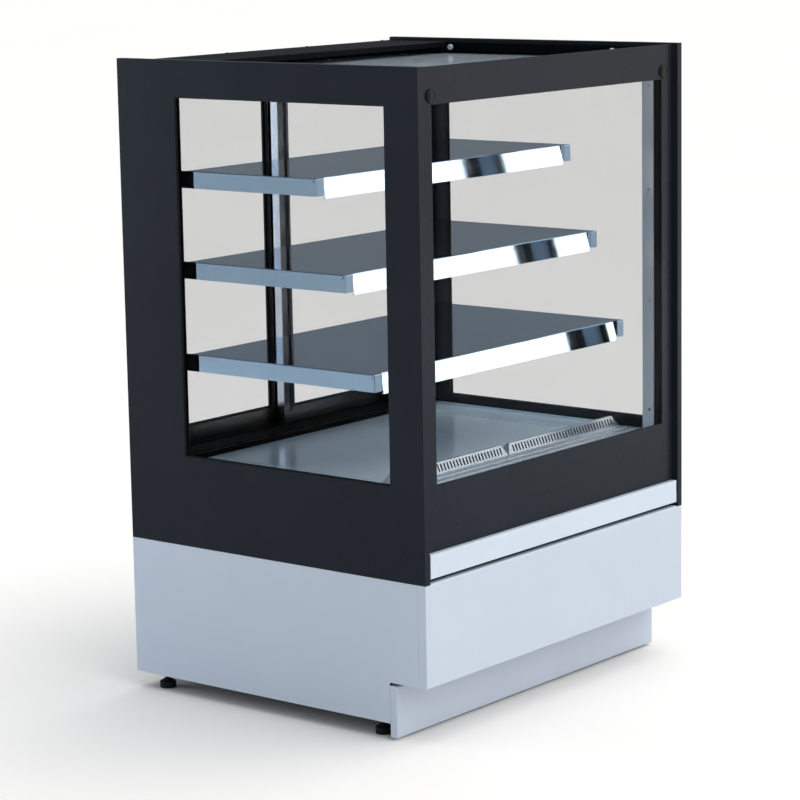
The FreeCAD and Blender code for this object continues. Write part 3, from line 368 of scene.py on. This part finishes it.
def prism(shape, outline, axis, start, end, edge=0.0):
    """Outline extruded along an axis, with softened edges. Outline points are in the other two axes."""
    u, v = [index for index in range(3) if index != axis]
    ends = []
    for place in (start, end):
        loop = []
        for a, b in outline:
            point = [0.0, 0.0, 0.0]
            point[u], point[v], point[axis] = a, b, place
            loop.append(shape.verts.new(point))
        ends.append(loop)
    faces = [shape.faces.new(ends[0]), shape.faces.new(list(reversed(ends[1])))]
    for index in range(len(outline)):
        after = (index + 1) % len(outline)
        faces.append(shape.faces.new((ends[0][index], ends[0][after], ends[1][after], ends[1][index])))
    if edge:
        bmesh.ops.recalc_face_normals(shape, faces=faces)
        edges = list({line for face in faces for line in face.edges})
        bmesh.ops.bevel(shape, geom=edges, offset=edge, segments=2, profile=0.5, affect="EDGES")


def slab(shape, low, high, edge):
    """Straight bar with softened edges."""
    corners = [(low[0], low[1]), (high[0], low[1]), (high[0], high[1]), (low[0], high[1])]
    prism(shape, corners, 2, low[2], high[2], edge)


def bend_corners(points, radius, steps=6):
    """Rounds the corners of a line of points."""
    line = [Vector(points[0])]
    for before, here, after in zip(points, points[1:], points[2:]):
        before, here, after = Vector(before), Vector(here), Vector(after)
        back, on = (before - here), (after - here)
        cut = min(radius, back.length * 0.49, on.length * 0.49)
        a, b = here + back.normalized() * cut, here + on.normalized() * cut
        for step in range(steps + 1):
            t = step / steps
            line.append(a * (1 - t) ** 2 + here * 2 * t * (1 - t) + b * t ** 2)
    line.append(Vector(points[-1]))
    return line


def tube(shape, line, radius, sides=14):
    """Round tube with closed ends along a line of points."""
    way = (line[1] - line[0]).normalized()
    side = way.orthogonal().normalized()
    rows = []
    for index, centre in enumerate(line):
        before, after = line[max(index - 1, 0)], line[min(index + 1, len(line) - 1)]
        way = (after - before).normalized()
        side = (side - way * side.dot(way)).normalized()
        other = way.cross(side)
        turns = [2 * math.pi * k / sides for k in range(sides)]
        rows.append([shape.verts.new(centre + (side * math.cos(t) + other * math.sin(t)) * radius)
                     for t in turns])
    for a, b in zip(rows, rows[1:]):
        for index in range(sides):
            after = (index + 1) % sides
            shape.faces.new((a[index], a[after], b[after], b[index]))
    shape.faces.new(rows[0])
    shape.faces.new(list(reversed(rows[-1])))


def screw_head(shape, place, axis, radius, height):
    """Low domed screw head with a round drive recess."""
    profile = [(0.0, 0.25 * height), (0.34 * radius, 0.25 * height), (0.40 * radius, 0.95 * height),
               (0.62 * radius, height), (0.86 * radius, 0.72 * height), (radius, 0.30 * height),
               (radius, 0.0)]
    lathe(shape, place, axis, profile, 24)


# ---- glazing seals ----
def door_gaskets():
    """Black glazing rubber on both faces of each sliding door's pane."""
    lip, foot, step = 1.8 * MM, 3.4 * MM, 0.4 * MM
    for side in ("left", "right"):
        low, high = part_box(side + "_door_glass")
        frame_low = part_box(side + "_door_frame")[0]
        front = frame_low.y + 0.7 * MM
        rear = frame_low.y + 19.3 * MM
        shape = bmesh.new()
        ring(shape, low, high, 1,
             [(0.0, front), (lip, front + step), (foot, low.y), (0.0, low.y)])
        ring(shape, low, high, 1,
             [(0.0, high.y), (foot, high.y), (lip, rear - step), (0.0, rear)])
        piece(side + "_door_gaskets", shape, side + "_door", "foot_rubber")


def pane_seals():
    """Rubber beads that hold the side panes, on the outer and the inner face."""
    for side, way in (("left", -1), ("right", 1)):
        low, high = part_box(side + "_side_pane")
        wall_low, wall_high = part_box(side + "_side_wall")
        outer, inner = (wall_low.x, wall_high.x) if way < 0 else (wall_high.x, wall_low.x)
        pane_out, pane_in = (low.x, high.x) if way < 0 else (high.x, low.x)
        shape = bmesh.new()
        ring(shape, low, high, 0, [(0.0, outer - way * 0.6 * MM), (1.3 * MM, outer - way * 1.4 * MM),
                                   (2.2 * MM, pane_out), (0.0, pane_out)])
        ring(shape, low, high, 0, [(0.0, inner + way * 0.6 * MM), (1.3 * MM, inner + way * 1.4 * MM),
                                   (2.2 * MM, pane_in), (0.0, pane_in)])
        piece(side + "_pane_seals", shape, "cabinet", "foot_rubber")


# ---- front glass catches ----
def catch_details():
    """Rubber washer round each catch and a raised half-moon for the finger on its face."""
    for side in ("left", "right"):
        low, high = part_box("glass_catch_" + side)
        centre = (low + high) / 2
        glass_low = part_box("front_glass_border")[0]
        radius = (high.x - low.x) / 2
        shape = bmesh.new()
        base = (centre.x, glass_low.y, centre.z)
        washer = [(radius, 0.0), (radius + 2.2 * MM, 0.0), (radius + 2.2 * MM, 0.5 * MM),
                  (radius + 1.4 * MM, 1.1 * MM), (radius + 0.1 * MM, 1.2 * MM), (radius, 0.0)]
        lathe(shape, base, (0, -1, 0), washer, 48)
        piece("catch_washer_" + side, shape, "front_glass", "foot_rubber")
        shape = bmesh.new()
        turns = [math.radians(100 + 170 * step / 16) for step in range(17)]
        grip = 7.4 * MM
        outline = [(centre.x + grip * math.cos(t), centre.z + grip * math.sin(t)) for t in turns]
        prism(shape, outline, 1, low.y - 0.7 * MM, low.y + 0.6 * MM, 0.25 * MM)
        piece("catch_half_moon_" + side, shape, "front_glass", "catch_black")


# ---- shelves ----
def shelf_details():
    """Dark slit shapes on the side flanges and dark strips behind the rail ends, painted shade that stands in
    for the shade inside the relief notches and in the gaps behind the rail ends; and the arms' bolts.
    """
    slit, slit_top, slit_foot = 1.1 * MM, 4.6 * MM, 7.6 * MM
    slit_place = 5.0 * MM
    for level in ("bottom", "middle", "top"):
        low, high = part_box("shelf_" + level)
        front = low.y
        shape = bmesh.new()
        # painted shade: dark slit shapes stand in for the shade inside the flanges' relief notches
        for way, x in ((-1, low.x), (1, high.x)):
            turns = [math.radians(180 * step / 8) for step in range(9)]
            outline = [(front + slit_place + slit * math.cos(t), high.z - slit_top + slit * math.sin(t))
                       for t in turns]
            outline += [(front + slit_place - slit, high.z - slit_foot),
                        (front + slit_place + slit, high.z - slit_foot)]
            prism(shape, outline, 0, x - way * 0.6 * MM, x + way * 0.12 * MM)
        piece("shelf_relief_shade_" + level, shape, "cabinet", "foot_rubber")
        # painted shade: dark strips stand in for the shade in the gaps behind the rail ends
        shape = bmesh.new()
        for way in (-1, 1):
            inner, outer = sorted((way * 398.4 * MM, way * 403.6 * MM))
            slab(shape, (inner, front + 7.6 * MM, high.z - 27.0 * MM),
                 (outer, front + 10.0 * MM, high.z - 1.6 * MM), 0.3 * MM)
        piece("rail_gap_shade_" + level, shape, "cabinet", "foot_rubber")
        arm_low, arm_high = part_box("shelf_arms_" + level)
        shape = bmesh.new()
        middle = (arm_low.z + arm_high.z) / 2
        for way, x in ((1, arm_low.x + 7.0 * MM), (-1, arm_high.x - 7.0 * MM)):
            for y in (arm_high.y - 9.0 * MM, arm_high.y - 34.0 * MM):
                screw_head(shape, (x, y, middle), (way, 0, 0), SCREW_RADIUS, 2.2 * MM)
        piece("shelf_arm_bolts_" + level, shape, "cabinet", "hinge_steel")


# ---- fixings ----
def profile_screws():
    """Screws through the polished corner profiles."""
    for side, way in (("left", 1), ("right", -1)):
        low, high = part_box(side + "_corner_profile")
        x = high.x if way > 0 else low.x
        shape = bmesh.new()
        for share in (0.06, 0.37, 0.68, 0.97):
            place = (x, (low.y + high.y) / 2 - 3.5 * MM, low.z + share * (high.z - low.z))
            screw_head(shape, place, (way, 0, 0), 3.4 * MM, 1.7 * MM)
        piece(side + "_profile_screws", shape, "cabinet", "hinge_steel")


def panel_screws():
    """Screws of the rear service panel and of the rear cover."""
    low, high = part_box("rear_service_panel")
    inset = 9 * MM
    sides = (low.x + inset, high.x - inset)
    places = [(x, z) for x in (sides[0], low.x + 0.5 * (high.x - low.x), sides[1])
              for z in (low.z + inset, high.z - 16 * MM)]
    places += [(x, z) for z in (low.z + 100 * MM, low.z + 190 * MM) for x in sides]
    shape = bmesh.new()
    for x, z in places:
        screw_head(shape, (x, high.y, z), (0, 1, 0), SCREW_RADIUS, 2.4 * MM)
    piece("service_panel_screws", shape, "cabinet", "hinge_steel")
    low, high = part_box("top_rear_cover")
    shape = bmesh.new()
    for share in (0.05, 0.35, 0.65, 0.95):
        for y in (low.y + 14 * MM, high.y - 14 * MM):
            place = (low.x + share * (high.x - low.x), y, high.z)
            screw_head(shape, place, (0, 0, 1), 3.6 * MM, 1.8 * MM)
    piece("rear_cover_screws", shape, "cabinet", "catch_black")


def rail_pins():
    """Bright steel sleeves over the pins of the top rails."""
    low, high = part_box("top_rails")
    sleeve = [(0.0, 0.0), (5.6 * MM, 0.0), (6.0 * MM, 0.6 * MM), (6.0 * MM, 6.4 * MM), (5.2 * MM, 7.2 * MM),
              (0.0, 7.6 * MM)]
    shape = bmesh.new()
    for way, x in ((1, low.x), (-1, high.x)):
        for y in (low.y + 126.0 * MM, high.y - 12.0 * MM):
            lathe(shape, (x + way * 8.2 * MM, y, low.z + 26.0 * MM), (way, 0, 0), sleeve, 24)
    piece("rail_pin_sleeves", shape, "cabinet", "polished_aluminium")


def front_side_seals():
    """Black bulb seals between the corner profiles and the front glass."""
    glass_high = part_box("front_glass_border")[1]
    for side, way in (("left", 1), ("right", -1)):
        low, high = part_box(side + "_corner_profile")
        wall = low.x if way > 0 else high.x
        y0, y1 = glass_high.y + 0.6 * MM, low.y
        bulb = [(3.0, 3.0), (6.0, 0.6), (11.0, 0.0), (16.0, 0.6), (19.0, 3.0), (22.0, 9.0)]
        outline = [(wall + way * bulb[0][0] * MM, y1)]
        outline += [(wall + way * x * MM, y0 + y * MM) for x, y in bulb]
        outline.append((wall + way * bulb[-1][0] * MM, y1))
        shape = bmesh.new()
        prism(shape, outline, 2, low.z + 1.0 * MM, high.z - 6.0 * MM)
        piece(side + "_front_seal", shape, "cabinet", "foot_rubber")


# ---- lamp, controller ----
def lamp_diffuser():
    """Half-round diffuser under the lamp profile with its two end caps."""
    low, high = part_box("top_lamp")
    middle = (low.y + high.y) / 2
    half, sag, seat = 8.5 * MM, 4.0 * MM, 0.3 * MM
    shape = bmesh.new()
    turns = [math.radians(180 + 180 * step / 12) for step in range(13)]
    outline = [(middle + half * math.cos(t), low.z + sag * math.sin(t)) for t in turns]
    outline += [(middle + half, low.z + seat), (middle - half, low.z + seat)]
    prism(shape, outline, 0, low.x + 31 * MM, high.x - 31 * MM)
    opal = surface("diffuser_finish", (0.80, 0.81, 0.82), (0.84, 0.85, 0.86), (0.3, 0.4), bump=(1500.0, 0.05))
    piece("lamp_diffuser", shape, "cabinet", None, material=opal)
    shape = bmesh.new()
    for x0, x1 in ((low.x + 27.5 * MM, low.x + 31.2 * MM), (high.x - 31.2 * MM, high.x - 27.5 * MM)):
        slab(shape, (x0, middle - 10 * MM, low.z - 4.6 * MM), (x1, middle + 10 * MM, low.z + seat), 1.0 * MM)
    piece("lamp_end_caps", shape, "cabinet", "control_plastic")


def controller_details():
    """Dark display window of the controller, and the raised arrows on its two keys."""
    low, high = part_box("controller")
    shape = bmesh.new()
    slab(shape, (low.x + 42.4 * MM, high.y - 1.1 * MM, low.z + 8.4 * MM),
         (high.x - 6.4 * MM, high.y - 0.3 * MM, high.z - 6.4 * MM), 0.3 * MM)
    piece("controller_window", shape, "cabinet", "rocker_plastic")
    for key, way in (("up", 1), ("down", -1)):
        low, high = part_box("controller_key_" + key)
        centre = (low + high) / 2
        shape = bmesh.new()
        foot = centre.z - way * 1.3 * MM
        outline = [(centre.x - 2.2 * MM, foot), (centre.x + 2.2 * MM, foot),
                   (centre.x, centre.z + way * 1.9 * MM)]
        prism(shape, outline, 1, high.y - 0.2 * MM, high.y + 0.25 * MM, 0.08 * MM)
        piece("key_arrow_" + key, shape, "key_" + key, "control_plastic")


# ---- machine space ----
def coil_bends(node, rows, out):
    """Return bends that join the straight tubes of a finned coil in pairs at both ends."""
    low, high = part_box(node)
    y = (low.y + high.y) / 2
    step = (high.z - low.z) / rows
    shape = bmesh.new()
    for way, x, first in ((-1, low.x, 0), (1, high.x, 1)):
        for row in range(first, rows - 1, 2):
            z0 = low.z + (row + 0.5) * step
            start, bow = x - way * MM, x + way * out
            line = bend_corners([(start, y, z0), (bow, y, z0), (bow, y, z0 + step), (start, y, z0 + step)],
                                out * 0.95, 8)
            tube(shape, line, 4.4 * MM)
    piece(node + "_bends", shape, "cabinet", None, material=COPPER)


def pipework():
    """Copper lines between the compressor, the condenser, the drier and the well."""
    pot_low, pot_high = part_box("compressor")
    coil_low, coil_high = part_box("condenser")
    well_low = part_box("insulated_well")[0]
    y = (coil_low.y + coil_high.y) / 2
    pot_x, pot_y = pot_low.x + 65 * MM, (pot_low.y + pot_high.y) / 2
    top = pot_high.z + 24 * MM
    bank = coil_high.x + 76 * MM
    shape = bmesh.new()
    tube(shape, bend_corners([(pot_x, pot_y, pot_high.z - 2 * MM), (pot_x, pot_y, top), (bank, pot_y, top),
                              (bank, y, top), (coil_high.x - 1 * MM, y, top)], 18 * MM), 3.2 * MM)
    left, suction, back = pot_low.x - 18 * MM, pot_low.z + 76 * MM, pot_y - 130 * MM
    roof = well_low.z - 22 * MM
    tube(shape, bend_corners([(pot_low.x + 26 * MM, pot_y, suction), (left, pot_y, suction),
                              (left, pot_y, roof), (left, back, roof),
                              (left, back, well_low.z + 2 * MM)], 18 * MM), 4.8 * MM)
    low_z = coil_low.z + 18 * MM
    near, drier_y, far_y = coil_high.x + 40 * MM, y - 36 * MM, y - 250 * MM
    ceiling = roof - 12 * MM
    tube(shape, bend_corners([(coil_high.x - 1 * MM, y, low_z), (near, y, low_z), (near, drier_y, low_z),
                              (near, drier_y, low_z + 40 * MM)], 14 * MM), 3.2 * MM)
    tube(shape, bend_corners([(near, drier_y, low_z + 118 * MM), (near, drier_y, ceiling),
                              (near, far_y, ceiling), (near, far_y, well_low.z + 2 * MM)],
                             14 * MM), 2.2 * MM)
    piece("copper_lines", shape, "cabinet", None, material=COPPER)
    shape = bmesh.new()
    lathe(shape, (near, drier_y, low_z + 36 * MM), (0, 0, 1),
          [(0.0, 0.0), (3.8 * MM, 0.0), (4.4 * MM, 8 * MM), (10 * MM, 16 * MM), (10 * MM, 70 * MM),
           (4.4 * MM, 78 * MM), (3.8 * MM, 86 * MM), (0.0, 86 * MM)], 32)
    piece("filter_drier", shape, "cabinet", None, material=COPPER)


COPPER = surface("copper_finish", (0.42, 0.17, 0.09), (0.62, 0.29, 0.17), (0.26, 0.42), 1.0, cloud=30.0,
                 bump=(700.0, 0.08))
door_gaskets()
pane_seals()
catch_details()
shelf_details()
profile_screws()
panel_screws()
rail_pins()
front_side_seals()
lamp_diffuser()
controller_details()
coil_bends("condenser", 6, 15 * MM)
pipework()

SOFT_EDGES = {
    0.8: ("left_lower_panel", "right_lower_panel", "front_lower_panel", "kick_plate", "front_glass_profile",
          "top_rear_cover"),
    0.6: ("left_side_wall", "right_side_wall", "left_door_frame", "right_door_frame"),
    0.5: ("left_corner_profile", "right_corner_profile"),
    0.4: ("door_top_track", "rear_sill", "deck_plate"),
    0.35: ("shelf_bottom", "shelf_middle", "shelf_top"),
    0.3: ("front_ledge",),
}
for width, names in SOFT_EDGES.items():
    for name in names:
        soften(NODES[name], width * MM)


# ---- studio ----
def make_floor():
    """Plain pale floor."""
    mesh = bpy.data.meshes.new("floor")
    size = FLOOR_REACH
    mesh.from_pydata([(-size, -size, 0), (size, -size, 0), (size, size, 0), (-size, size, 0)], [],
                     [(0, 1, 2, 3)])
    floor = bpy.data.objects.new("floor", mesh)
    bpy.context.scene.collection.objects.link(floor)
    floor.data.materials.append(surface("floor_paint", (0.945, 0.91, 0.88), (0.96, 0.925, 0.895), (0.7, 0.8),
                                        cloud=0.6, bump=(200.0, 0.02), specular=0.2))


def make_world():
    """Soft studio surroundings: an even pale base and one broad softbox above, to the front right."""
    world = bpy.data.worlds.new("studio")
    bpy.context.scene.world = world
    world.use_nodes = True
    tree = world.node_tree
    background = tree.nodes["Background"]
    background.inputs["Color"].default_value = SOFTBOX_COLOUR
    way = add(tree, "ShaderNodeTexCoord").outputs["Generated"]

    def lobe(direction, inner, outer, strength):
        """Bright patch of sky: full within the inner angle and gone past the outer one, in degrees."""
        unit = Vector(direction).normalized()
        dot = add(tree, "ShaderNodeVectorMath", i0=way, i1=tuple(unit))
        dot.operation = "DOT_PRODUCT"
        node = add(tree, "ShaderNodeMapRange", Value=dot.outputs["Value"])
        node.interpolation_type = "SMOOTHSTEP"
        node.inputs["From Min"].default_value = math.cos(math.radians(outer))
        node.inputs["From Max"].default_value = math.cos(math.radians(inner))
        node.inputs["To Max"].default_value = strength
        return node.outputs[0]

    tree.links.new(lobe(SOFTBOX_WAY, 22, 66, SOFTBOX_STRENGTH), background.inputs["Strength"])
    around = add(tree, "ShaderNodeBackground", Color=BASE_COLOUR, Strength=BASE_STRENGTH)
    both = add(tree, "ShaderNodeAddShader", i0=background.outputs[0], i1=around.outputs[0])
    tree.links.new(both.outputs[0], tree.nodes["World Output"].inputs["Surface"])


def make_card(name, place, target, width, height, radiance, colour, through_glass=True):
    """Soft panel light of a given brightness, facing a point. It isn't seen directly."""
    data = bpy.data.lights.new(name, "AREA")
    data.shape = "RECTANGLE"
    data.size = width
    data.size_y = height
    data.energy = radiance * math.pi * width * height
    data.color = colour
    card = bpy.data.objects.new(name, data)
    bpy.context.scene.collection.objects.link(card)
    card.visible_camera = False
    card.visible_transmission = through_glass
    card.location = place
    card.rotation_mode = "QUATERNION"
    card.rotation_quaternion = (Vector(target) - Vector(place)).to_track_quat("-Z", "Y")


def make_camera():
    """Camera in front of the left corner: yaw from +Y, pitch down, slight roll."""
    data = bpy.data.cameras.new("camera")
    camera = bpy.data.objects.new("camera", data)
    bpy.context.scene.collection.objects.link(camera)
    data.lens = CAMERA_LENS
    data.sensor_width = 36.0
    data.clip_end = 500.0
    yaw, pitch, roll = CAMERA_YAW, CAMERA_PITCH, CAMERA_ROLL
    forward = Vector((math.sin(yaw) * math.cos(pitch), math.cos(yaw) * math.cos(pitch), -math.sin(pitch)))
    right = Vector((math.cos(yaw), -math.sin(yaw), 0.0))
    down = forward.cross(right)
    tilted_right = math.cos(roll) * right + math.sin(roll) * down
    tilted_down = -math.sin(roll) * right + math.cos(roll) * down
    turn = Matrix((tilted_right, -tilted_down, -forward)).transposed().to_4x4()
    camera.matrix_world = Matrix.Translation(Vector(CAMERA_PLACE)) @ turn
    bpy.context.scene.camera = camera


make_floor()
make_world()
make_card("card_floor_front", (4.2, -3.7, 0.02), (4.2, -3.7, 5.0), 3.4, 3.4, 2.4, (0.88, 0.97, 1.06),
          through_glass=False)
make_card("card_far_front", (18.6, -15.1, 2.7), (0.0, -0.3, 0.95), 6.4, 4.2, 4.2, (1.18, 0.98, 0.84))
make_card("card_rear_left", (-2.5, 3.9, 1.25), (-0.45, 0.35, 0.9), 1.9, 2.1, 4.0, (0.84, 0.96, 1.10))
make_camera()
bpy.context.scene.view_settings.view_transform = "Standard"
